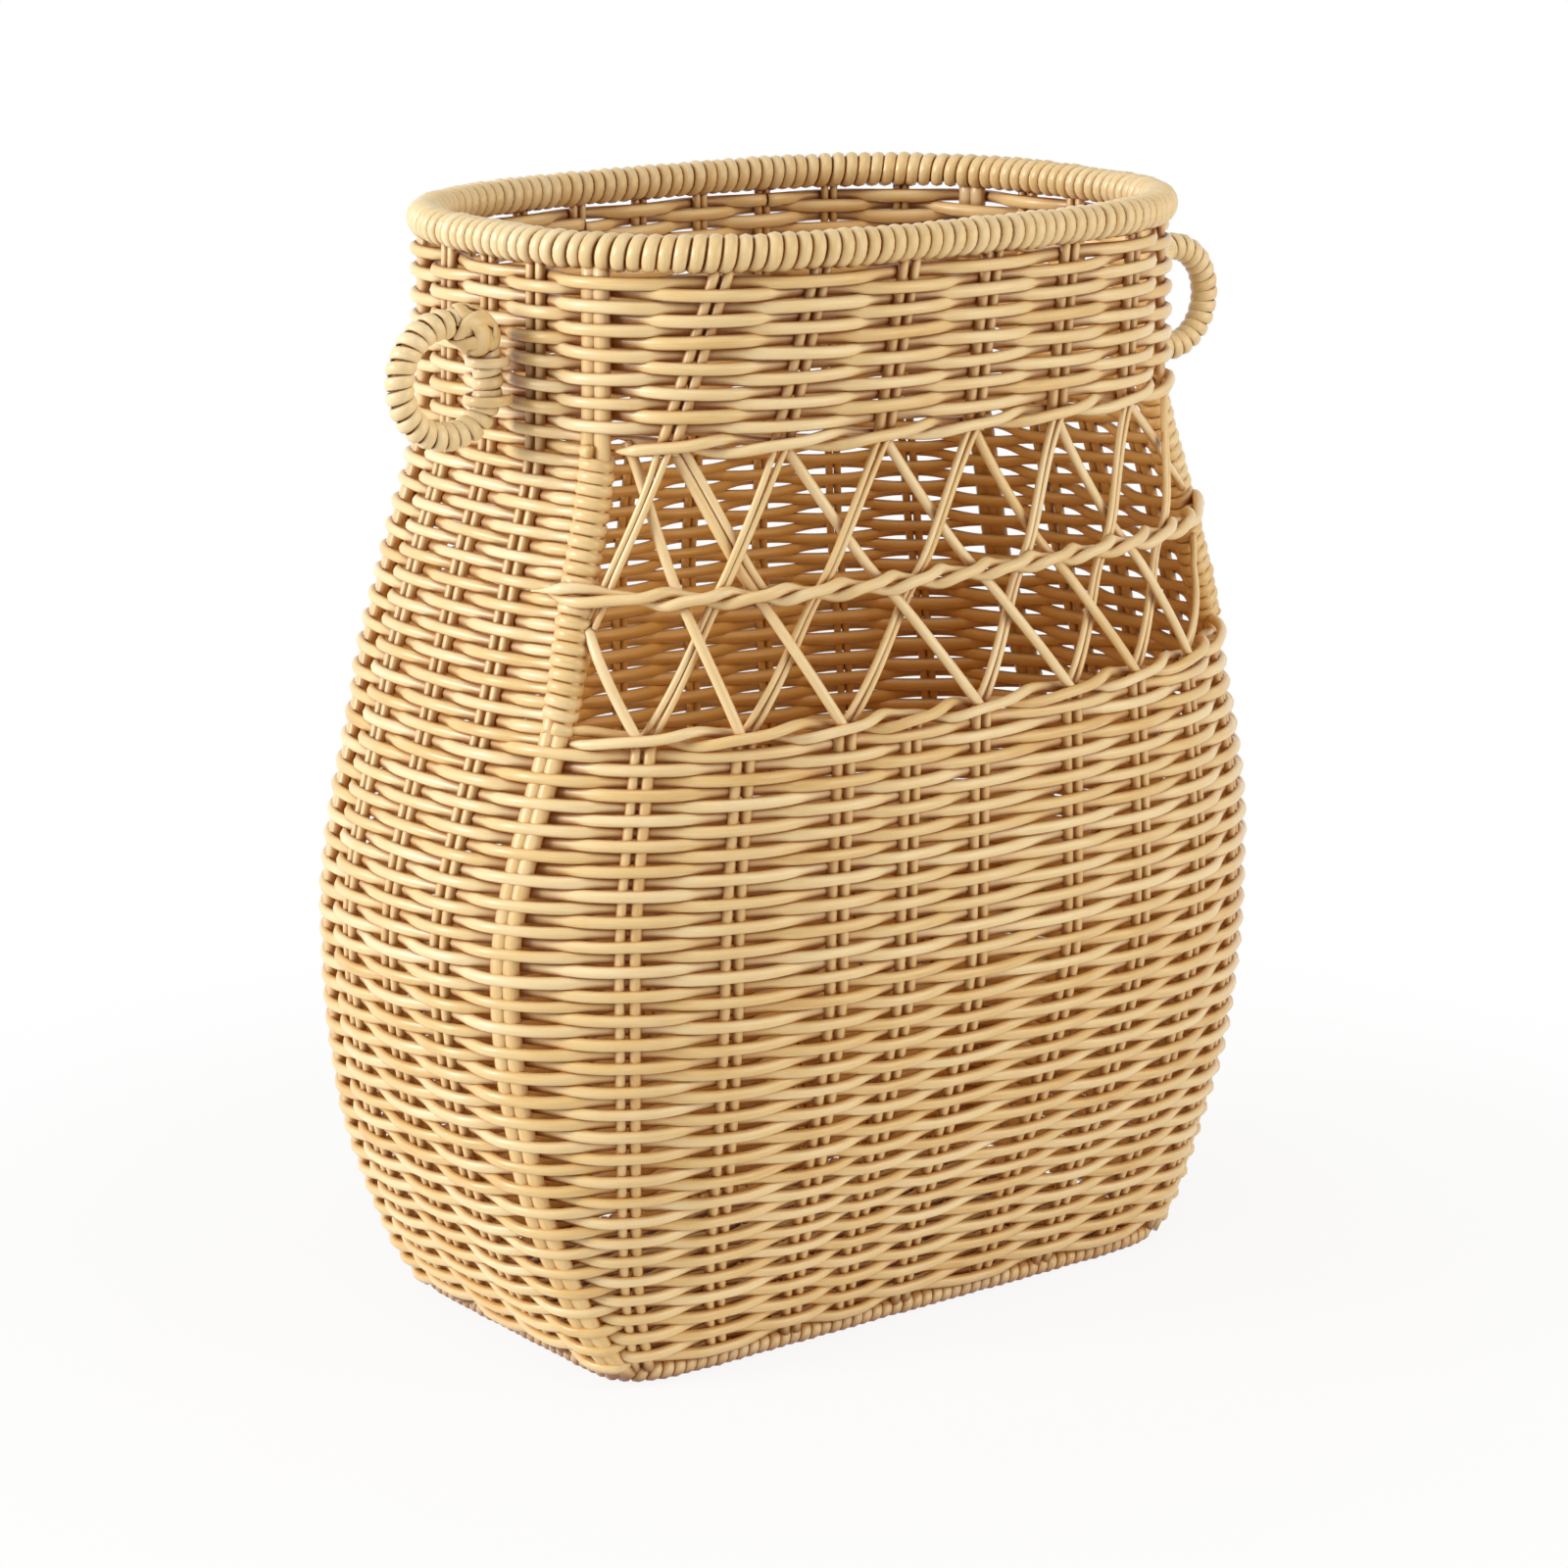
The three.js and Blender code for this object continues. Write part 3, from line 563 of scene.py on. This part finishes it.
# Lattice of the window
# Single canes lean to the left going up, and double canes lean to the right. The singles
# are in front below the middle band and behind above it. They carry on from the stakes.
lattice_finish = cane_finish("lattice_cane", "F7E4BC", "E6C68B", "C79857", 0.4)
crossing_out, side_change = 2.25, 7
foot_step, head_step = 0.5, 0.2
sill_pairs = [front_stakes[k] for k in (0, 1, 2, 4, 5, 6, 7)]
tie_low, tie_high = band_height - 12, band_height + 8
beside_post, on_post = 0.018, 1.0
stray_top, paired_single = 0.036, 3
tuck_in = 3.5
single_radius, single_flat, partner_radius, partner_step = 2.15, 0.8, 1.9, 4.2
double_radius, double_flat, double_apart = 1.38, 0.95, 1.32


def front_line(start, end, front_below, bow=0.0):
    """A strand between two (share, height, step in mm) ends, which changes sides at the band."""
    t = np.linspace(0, 1, 34)
    z = start[1] + (end[1] - start[1]) * t
    share = start[0] + (end[0] - start[0]) * t
    step = start[2] + (end[2] - start[2]) * t + bow * np.sin(math.pi * t)
    angle = np.array([wall_angle("front", s, h) for s, h in zip(share, z)])
    normal = wall_outward(angle, z)
    beside = unit(np.cross(upward, normal))
    outward = -front_below * crossing_out * np.tanh((z - band_height) / side_change)
    for tied, near in ((start, 1 - t), (end, t)):
        if tied[0] in (beside_post, 1 - beside_post):
            outward = outward + (on_post - outward) * np.clip(4 * near - 3, 0, 1)
    line = wall_point(angle, z) + normal * outward[:, None] + beside * step[:, None]
    return line, normal, beside


def at_sill(share, step):
    return share, sill_height - tuck_in, step


def at_head(share, step):
    return share, head_height + tuck_in, step


singles = [(at_sill(sill_pairs[0], -foot_step), (beside_post, tie_low, 0))]
singles.append((at_sill(sill_pairs[1], -foot_step), at_head(stray_top, 0)))
singles += [(at_sill(sill_pairs[n + 2], -foot_step), at_head(neck_stakes[n], head_step)) for n in range(5)]
singles.append(((1 - beside_post, tie_high, 0), at_head(neck_stakes[5], head_step)))
doubles = [((beside_post, tie_low, 0), at_head(neck_stakes[0], -head_step))]
doubles += [(at_sill(sill_pairs[n], foot_step), at_head(neck_stakes[n + 1], -head_step)) for n in range(6)]
doubles.append((at_sill(sill_pairs[6], foot_step), (1 - beside_post, tie_low, 0)))
for n, (start, end) in enumerate(singles, 1):
    line, normal, beside = front_line(start, end, 1, luck.normal(0, 0.7))
    canes = [cane(line, normal, single_radius, single_flat, 10)]
    if n == paired_single:
        above = line[:, 2] > band_height
        partner = (line + beside * partner_step)[above]
        canes.append(cane(partner, normal[above], partner_radius, single_flat, 10))
    strand = cane_piece(f"lattice_single_{n}_cane", canes, lattice_finish)
    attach(strand, "basket")
    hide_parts(f"lattice_single_{n}")
for n, (start, end) in enumerate(doubles, 1):
    line, normal, beside = front_line(start, end, -1, luck.normal(0, 0.6))
    from_middle = np.abs(np.linspace(-1, 1, len(line)))
    apart = (double_apart + from_middle**3)[:, None]
    canes = [cane(line + beside * apart * way, normal, double_radius, double_flat) for way in (-1, 1)]
    strand = cane_piece(f"lattice_double_{n}_canes", canes, lattice_finish)
    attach(strand, "basket")
    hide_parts(f"lattice_double_{n}")

# Middle band
# Two canes twisted evenly round each other and round the lattice strands across the
# middle of the window, with their ends taken round the corner posts.
band_twists = 15
band_marks = np.linspace(0, 1, band_twists + 1)[1:-1]
band_canes = twined_row(
    band_height, band_marks, reach=2.5, lift=2.5, radius=2.3,
    low=-0.05, high=1.05, middle=2.6, at_post=7.0,
)
band = cane_piece("middle_band_twined", band_canes, lattice_finish)
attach(band, "basket")
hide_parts("twine_outer", "twine_inner")

# Shoulder weave
# Plain rows round the two ends and the back beside the window. The rows end at the
# front posts, behind the cane wound round them.
shoulder_shares = {"front": [], "right": end_stakes, "back": back_stakes, "left": end_stakes}
shoulder_radius, shoulder_depth, shoulder_count, shoulder_past = 2.45, 0.74, 25, 4.2
shoulder_span = 1, 4 + 2 * len(end_stakes) + len(back_stakes)
shoulder_heights = row_heights(sill_height - shoulder_past, head_height + shoulder_past, shoulder_count)
shoulder_rows = [
    woven_row(z, row, shoulder_shares, shoulder_radius, shoulder_depth, shoulder_span)
    for row, z in enumerate(shoulder_heights)
]
shoulder = cane_piece("shoulder_weave_rows", shoulder_rows, weave_finish)
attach(shoulder, "basket")
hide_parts(*(f"shoulder_weave_{wall}" for wall in ("back", "left", "right")))

# Cane wound round the front posts
# A single cane wound turn on turn round each post beside the window, which covers
# the ends of the shoulder rows and holds the lattice ties.
post_wrap_turns, post_wrap_steps, post_wrap_slant = 21, 16, 1.3
post_wrap_out, post_wrap_aside, post_wrap_radius, post_wrap_flat = 4.6, 5.2, 2.7, 0.85
post_wrap_low, post_wrap_high = sill_height + 1.5, head_height - 1
for corner in ("front_left", "front_right"):
    wall = wall_from_post[corner]
    k = np.arange(post_wrap_turns * post_wrap_steps + 1)
    z = np.interp(k, [0, k[-1]], [post_wrap_low, post_wrap_high])
    angle = np.array([float(wall_angle(wall, 0, h)) for h in z])
    centre, normal = wall_point(angle, z), wall_outward(angle, z)
    tangent = unit(np.gradient(centre, axis=0))
    beside = unit(np.cross(tangent, normal))
    spin = turn * k / post_wrap_steps
    turn_swell = luck.normal(0, 0.26, post_wrap_turns + 1)
    swell = np.interp(k / post_wrap_steps, np.arange(post_wrap_turns + 1), turn_swell)
    radial = np.cos(spin)[:, None] * normal + np.sin(spin)[:, None] * beside
    outward = np.cos(spin) * (post_wrap_out + swell)
    sideways = np.sin(spin) * (post_wrap_aside + swell)
    line = centre + normal * outward[:, None] + beside * sideways[:, None]
    line[:, 2] += np.sin(spin) * (-post_wrap_slant if corner == "front_left" else post_wrap_slant)
    wound = cane(line, radial, post_wrap_radius, post_wrap_flat, tone=long_tones(len(k), 120, 260))
    wrap = cane_piece(f"post_wrap_{corner}_cane", [wound], wrapped)
    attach(wrap, "basket")
    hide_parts(f"post_wrap_{corner}")

# Head row
# A twisted pair like that of the sill, which starts the neck weave over the window.
head_rise = 2.2
head_canes = twined_row(
    head_height + head_rise, neck_stakes, reach=4.2, lift=2.4, radius=2.3, low=0.012, high=0.988
)
head_row = cane_piece("head_row_twined", head_canes, weave_finish)
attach(head_row, "basket")

# Neck weave
# Plain rows of round cane right round the basket, up to the rim, woven more loosely
# than those below.
neck_shares = {"front": neck_stakes, "right": end_stakes, "back": back_stakes, "left": end_stakes}
neck_depth, neck_slack, neck_count = 0.78, 0.75, 13
neck_first, neck_last = head_height + 9.2, rim_height - 11.2
neck_heights = np.linspace(neck_first, neck_last, neck_count)
neck_rows = [
    woven_row(z, row, neck_shares, weaver_radius, neck_depth, slack=neck_slack)
    for row, z in enumerate(neck_heights)
]
neck = cane_piece("neck_weave_rows", neck_rows, weave_finish)
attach(neck, "basket")
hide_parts(*(f"neck_weave_{wall}" for wall in ("front", "back", "left", "right")))

# Rim
# A stout hoop that holds the top of the posts and stakes, wound turn on turn with
# thick cane.
rim_radius, rim_wrap_thickness, rim_turns, rim_core_play = 7.5, 4.2, 150, 0.8
rim_line = wall_point(plan_angles, rim_height)
rim_wrap_middle = rim_radius - rim_wrap_thickness / 2
rim_strip = loop_length(rim_line) / rim_turns
rim_canes = [hoop_winding(rim_line, rim_turns, rim_wrap_middle, rim_strip, rim_wrap_thickness, 16, 0.22)]
rim_core = closed_line(rim_line, 200)
rim_canes.append(cane(rim_core, upward, rim_wrap_middle - rim_core_play, sides=10, closed=True))
rim = cane_piece("rim_hoop_wound", rim_canes, wrapped)
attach(rim, "basket")
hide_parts("rim_hoop")

# Ring handles
# A bent cane core on each end, straight on the side next to the wall and wound with
# cane, with a woven knot over the place where the core's ends meet.
ring_axis, ring_forward, ring_height = 165.38, 21, 402.5
ring_reach, ring_tall, ring_squareness = 40, 43, 2.5
knot_from, knot_to = math.radians(105), math.radians(144)
ring_core_radius, ring_wrap_thickness, ring_wrap_turns, ring_wrap_end = 3.6, 2.6, 23, 1.4
ring_wrap_sink, ring_wrap_overlap = 0.25, 1.04
knot_over, knot_barrel, knot_narrow, knot_lift, knot_sleeve = 1.2, 7.1, 1.0, 0.7, 6.9
knot_strand, knot_strand_flat = 3.4, 0.42
ring_side = np.array([0.0, 1.0, 0.0])


def ring_point(angle):
    """The ring's middle line from the hinge: x away from the wall, z up."""
    c, s = np.cos(angle), np.sin(angle)
    power = np.where(c < 0, 2 / ring_squareness, 1.0)
    x = ring_reach / 2 * (1 + np.sign(c) * np.abs(c) ** power)
    z = ring_tall / 2 * np.sign(s) * np.abs(s) ** power
    return np.stack([x, 0 * x, z], axis=-1)


ring_angles = knot_from - np.linspace(0, turn, 3001)
ring_line = ring_point(ring_angles)
ring_length = np.concatenate([[0], np.cumsum(np.linalg.norm(np.diff(ring_line, axis=0), axis=1))])
knot_near = float(np.interp(turn - (knot_to - knot_from), knot_from - ring_angles, ring_length))


def ring_frame(distance):
    """Middle of the ring at a distance along it, and the two directions square to it."""
    distance = np.asarray(distance, float)
    angle = np.interp(distance, ring_length, ring_angles)
    centre = ring_point(angle)
    tangent = unit(ring_point(angle - 0.01) - ring_point(angle + 0.01))
    side = np.broadcast_to(ring_side, centre.shape)
    return centre, side, np.cross(tangent, side)


def ring_winding(turns, steps=14):
    """One cane wound round the ring from one end of the knot to the other."""
    k = np.arange(turns * steps + 1)
    first, last = ring_wrap_end, knot_near - ring_wrap_end
    centre, side, across = ring_frame(np.interp(k, [0, k[-1]], [first, last]))
    spin = turn * k / steps
    radial = np.cos(spin)[:, None] * side + np.sin(spin)[:, None] * across
    swell = np.interp(k / steps, np.arange(turns + 1), luck.normal(0, 0.14, turns + 1))
    width = (last - first) / turns * ring_wrap_overlap
    middle = ring_core_radius + ring_wrap_thickness / 2 - ring_wrap_sink
    path = centre + radial * (middle + swell)[:, None]
    return cane(path, radial, width / 2, ring_wrap_thickness / width)


def ring_knot():
    """A turk's head of three leads on the bend of the ring."""
    leads, bights = 3, 4
    u = np.linspace(0, turn, 420, endpoint=False)
    middle = (knot_near + ring_length[-1]) / 2
    half = (ring_length[-1] - knot_near) / 2 + knot_over
    along = half * np.sin(bights * u)
    centre, side, across = ring_frame(middle + along)
    barrel = knot_barrel - knot_narrow * np.abs(along / half) ** 2.2
    weave = knot_lift * np.cos(2 * bights * u + math.pi / 4)
    spin = leads * u
    radial = np.cos(spin)[:, None] * side + np.sin(spin)[:, None] * across
    path = centre + radial * (barrel + weave)[:, None]
    return cane(path, radial, knot_strand, knot_strand_flat, 10, True)


for where, sign in (("right", 1), ("left", -1)):
    hinge = np.array([sign * ring_axis, -ring_forward, ring_height])
    facing = np.array([sign, sign, 1])
    core_line = ring_frame(np.linspace(0, ring_length[-1], 90, endpoint=False))[0]
    sleeve_line = ring_frame(np.linspace(knot_near, ring_length[-1], 14))[0]
    ring_canes = {
        "ring_core": [cane(core_line, ring_side, ring_core_radius, closed=True)],
        "ring_wrap": [ring_winding(ring_wrap_turns)],
        "ring_knot": [ring_knot(), cane(sleeve_line, ring_side, knot_sleeve, sides=12)],
    }
    for part, canes in ring_canes.items():
        turned = [(rings * facing + hinge, *rest) for rings, *rest in canes]
        piece = cane_piece(f"{where}_{part}_cane", turned, wrapped)
        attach(piece, f"{where}_ring")
        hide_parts(f"{where}_{part}")

# Lashings
# Two loops of flat cane on each end that come out of the neck weave, pass round the
# straight side of the ring and go back in behind it, so that the ring can swing.
lash_radius, lash_flat, lash_clear, lash_opening = 2.0, 0.5, 0.2, math.radians(152)
lash_heights = {"upper": 5.8, "lower": -9}
ring_tube = ring_core_radius + ring_wrap_thickness - ring_wrap_sink
for where, sign in (("right", 1), ("left", -1)):
    hinge = np.array([sign * ring_axis, -ring_forward, ring_height])
    facing = np.array([sign, sign, 1])
    for name, offset in lash_heights.items():
        far_edge = abs(offset) + lash_radius
        bar_angle = math.pi - math.asin((far_edge / (ring_tall / 2)) ** (ring_squareness / 2))
        bend = ring_tube + float(ring_point(bar_angle)[0]) + lash_clear + lash_radius * lash_flat
        arc = np.linspace(-lash_opening, lash_opening, 40)
        radial = np.stack([np.cos(arc), np.sin(arc), 0 * arc], axis=1)
        line = (radial * bend + offset * upward) * facing + hinge
        turned = cane(line, radial * facing, lash_radius, lash_flat, 10)
        lashing = cane_piece(f"{where}_lashing_{name}_cane", [turned], lattice_finish)
        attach(lashing, "basket")
        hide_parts(f"{where}_lashing_{name}")

# Studio
# A white floor that keeps the basket's soft shadow and fades into a white surround,
# lit by a soft lamp from the left, a weaker warm one in front and a faint one above.
ground_radius, ground_drop = 6, 0.2 * mm
fade_from, fade_to, least_white = 0.18, 0.6, 0.9
surround_light, surround_tint = 0.26, (1, 0.86, 0.64, 1)
lamp_target = Vector((0, 0, 0.22))


def shown_to(nodes, links):
    """1 for rays that show the white background, and 0 for those that light the basket."""
    rays = nodes.new("ShaderNodeLightPath")
    shown = rays.outputs["Is Camera Ray"]
    for kind in ("Is Glossy Ray", "Is Transmission Ray"):
        either = nodes.new("ShaderNodeMath")
        either.operation = "MAXIMUM"
        links.new(shown, either.inputs[0])
        links.new(rays.outputs[kind], either.inputs[1])
        shown = either.outputs[0]
    return shown


bpy.ops.mesh.primitive_circle_add(
    vertices=96, radius=ground_radius, fill_type="NGON", location=(0, 0, -ground_drop)
)
ground = bpy.context.object
ground.name = "studio_floor"
paper = bpy.data.materials.new("studio_paper")
paper.use_nodes = True
nodes, links = paper.node_tree.nodes, paper.node_tree.links
nodes.clear()
output = nodes.new("ShaderNodeOutputMaterial")
matt = nodes.new("ShaderNodeBsdfDiffuse")
matt.inputs["Color"].default_value = (0.9, 0.9, 0.9, 1)
white = nodes.new("ShaderNodeEmission")
shown = shown_to(nodes, links)
place = nodes.new("ShaderNodeTexCoord")
distance = nodes.new("ShaderNodeVectorMath")
distance.operation = "LENGTH"
links.new(place.outputs["Object"], distance.inputs[0])
fade = nodes.new("ShaderNodeMapRange")
fade.interpolation_type = "SMOOTHSTEP"
fade.inputs["From Min"].default_value = fade_from
fade.inputs["From Max"].default_value = fade_to
fade.inputs["To Min"].default_value = least_white
links.new(distance.outputs["Value"], fade.inputs["Value"])
share_white = nodes.new("ShaderNodeMath")
share_white.operation = "MULTIPLY"
links.new(fade.outputs["Result"], share_white.inputs[0])
links.new(shown, share_white.inputs[1])
mixed = nodes.new("ShaderNodeMixShader")
links.new(share_white.outputs[0], mixed.inputs["Fac"])
links.new(matt.outputs[0], mixed.inputs[1])
links.new(white.outputs[0], mixed.inputs[2])
links.new(mixed.outputs[0], output.inputs["Surface"])
ground.data.materials.append(paper)

world = bpy.data.worlds.new("studio_surround")
bpy.context.scene.world = world
world.use_nodes = True
nodes, links = world.node_tree.nodes, world.node_tree.links
surround = nodes["Background"]
shown = shown_to(nodes, links)
strength = nodes.new("ShaderNodeMapRange")
strength.inputs["To Min"].default_value = surround_light
strength.inputs["To Max"].default_value = 1.0
links.new(shown, strength.inputs["Value"])
links.new(strength.outputs["Result"], surround.inputs["Strength"])
warmth = nodes.new("ShaderNodeMix")
warmth.data_type = "RGBA"
warmth.inputs["A"].default_value = surround_tint
warmth.inputs["B"].default_value = (1, 1, 1, 1)
links.new(shown, warmth.inputs["Factor"])
links.new(warmth.outputs["Result"], surround.inputs["Color"])

for name, spot, size, watts, tint in (
    ("key_left", (-3.6, 1.15, 1.4), 1.5, 131, (1, 1, 1)),
    ("top_soft", (-0.2, -0.5, 2.2), 1.3, 8, (1, 1, 1)),
    ("front_fill", (1.4, -2.9, 0.9), 2.4, 60, (1, 0.92, 0.8)),
):
    lamp = bpy.data.lights.new(name, "AREA")
    lamp.energy, lamp.size, lamp.color = watts, size, tint
    holder = bpy.data.objects.new(name, lamp)
    holder.location = spot
    holder.rotation_mode = "QUATERNION"
    holder.rotation_quaternion = (lamp_target - Vector(spot)).to_track_quat("-Z", "Y")
    bpy.context.collection.objects.link(holder)

# Camera
# A long lens from the front left and a little above, as in the photograph.
camera_data = bpy.data.cameras.new("photo_camera")
camera_data.sensor_width = 36
camera_data.lens = 102.08
camera = bpy.data.objects.new("photo_camera", camera_data)
azimuth, elevation = math.radians(-37.5), math.radians(14.36)
far, aside, aim_height = 1.8588, -0.0053, 0.2115
aim = Vector((aside * math.cos(azimuth), aside * math.sin(azimuth), aim_height))
back = Vector((
    math.sin(azimuth) * math.cos(elevation),
    -math.cos(azimuth) * math.cos(elevation),
    math.sin(elevation),
))
camera.location = aim + back * far
camera.rotation_mode = "QUATERNION"
camera.rotation_quaternion = (-back).to_track_quat("-Z", "Y")
bpy.context.collection.objects.link(camera)
bpy.context.scene.camera = camera
bpy.context.scene.view_settings.view_transform = "Standard"
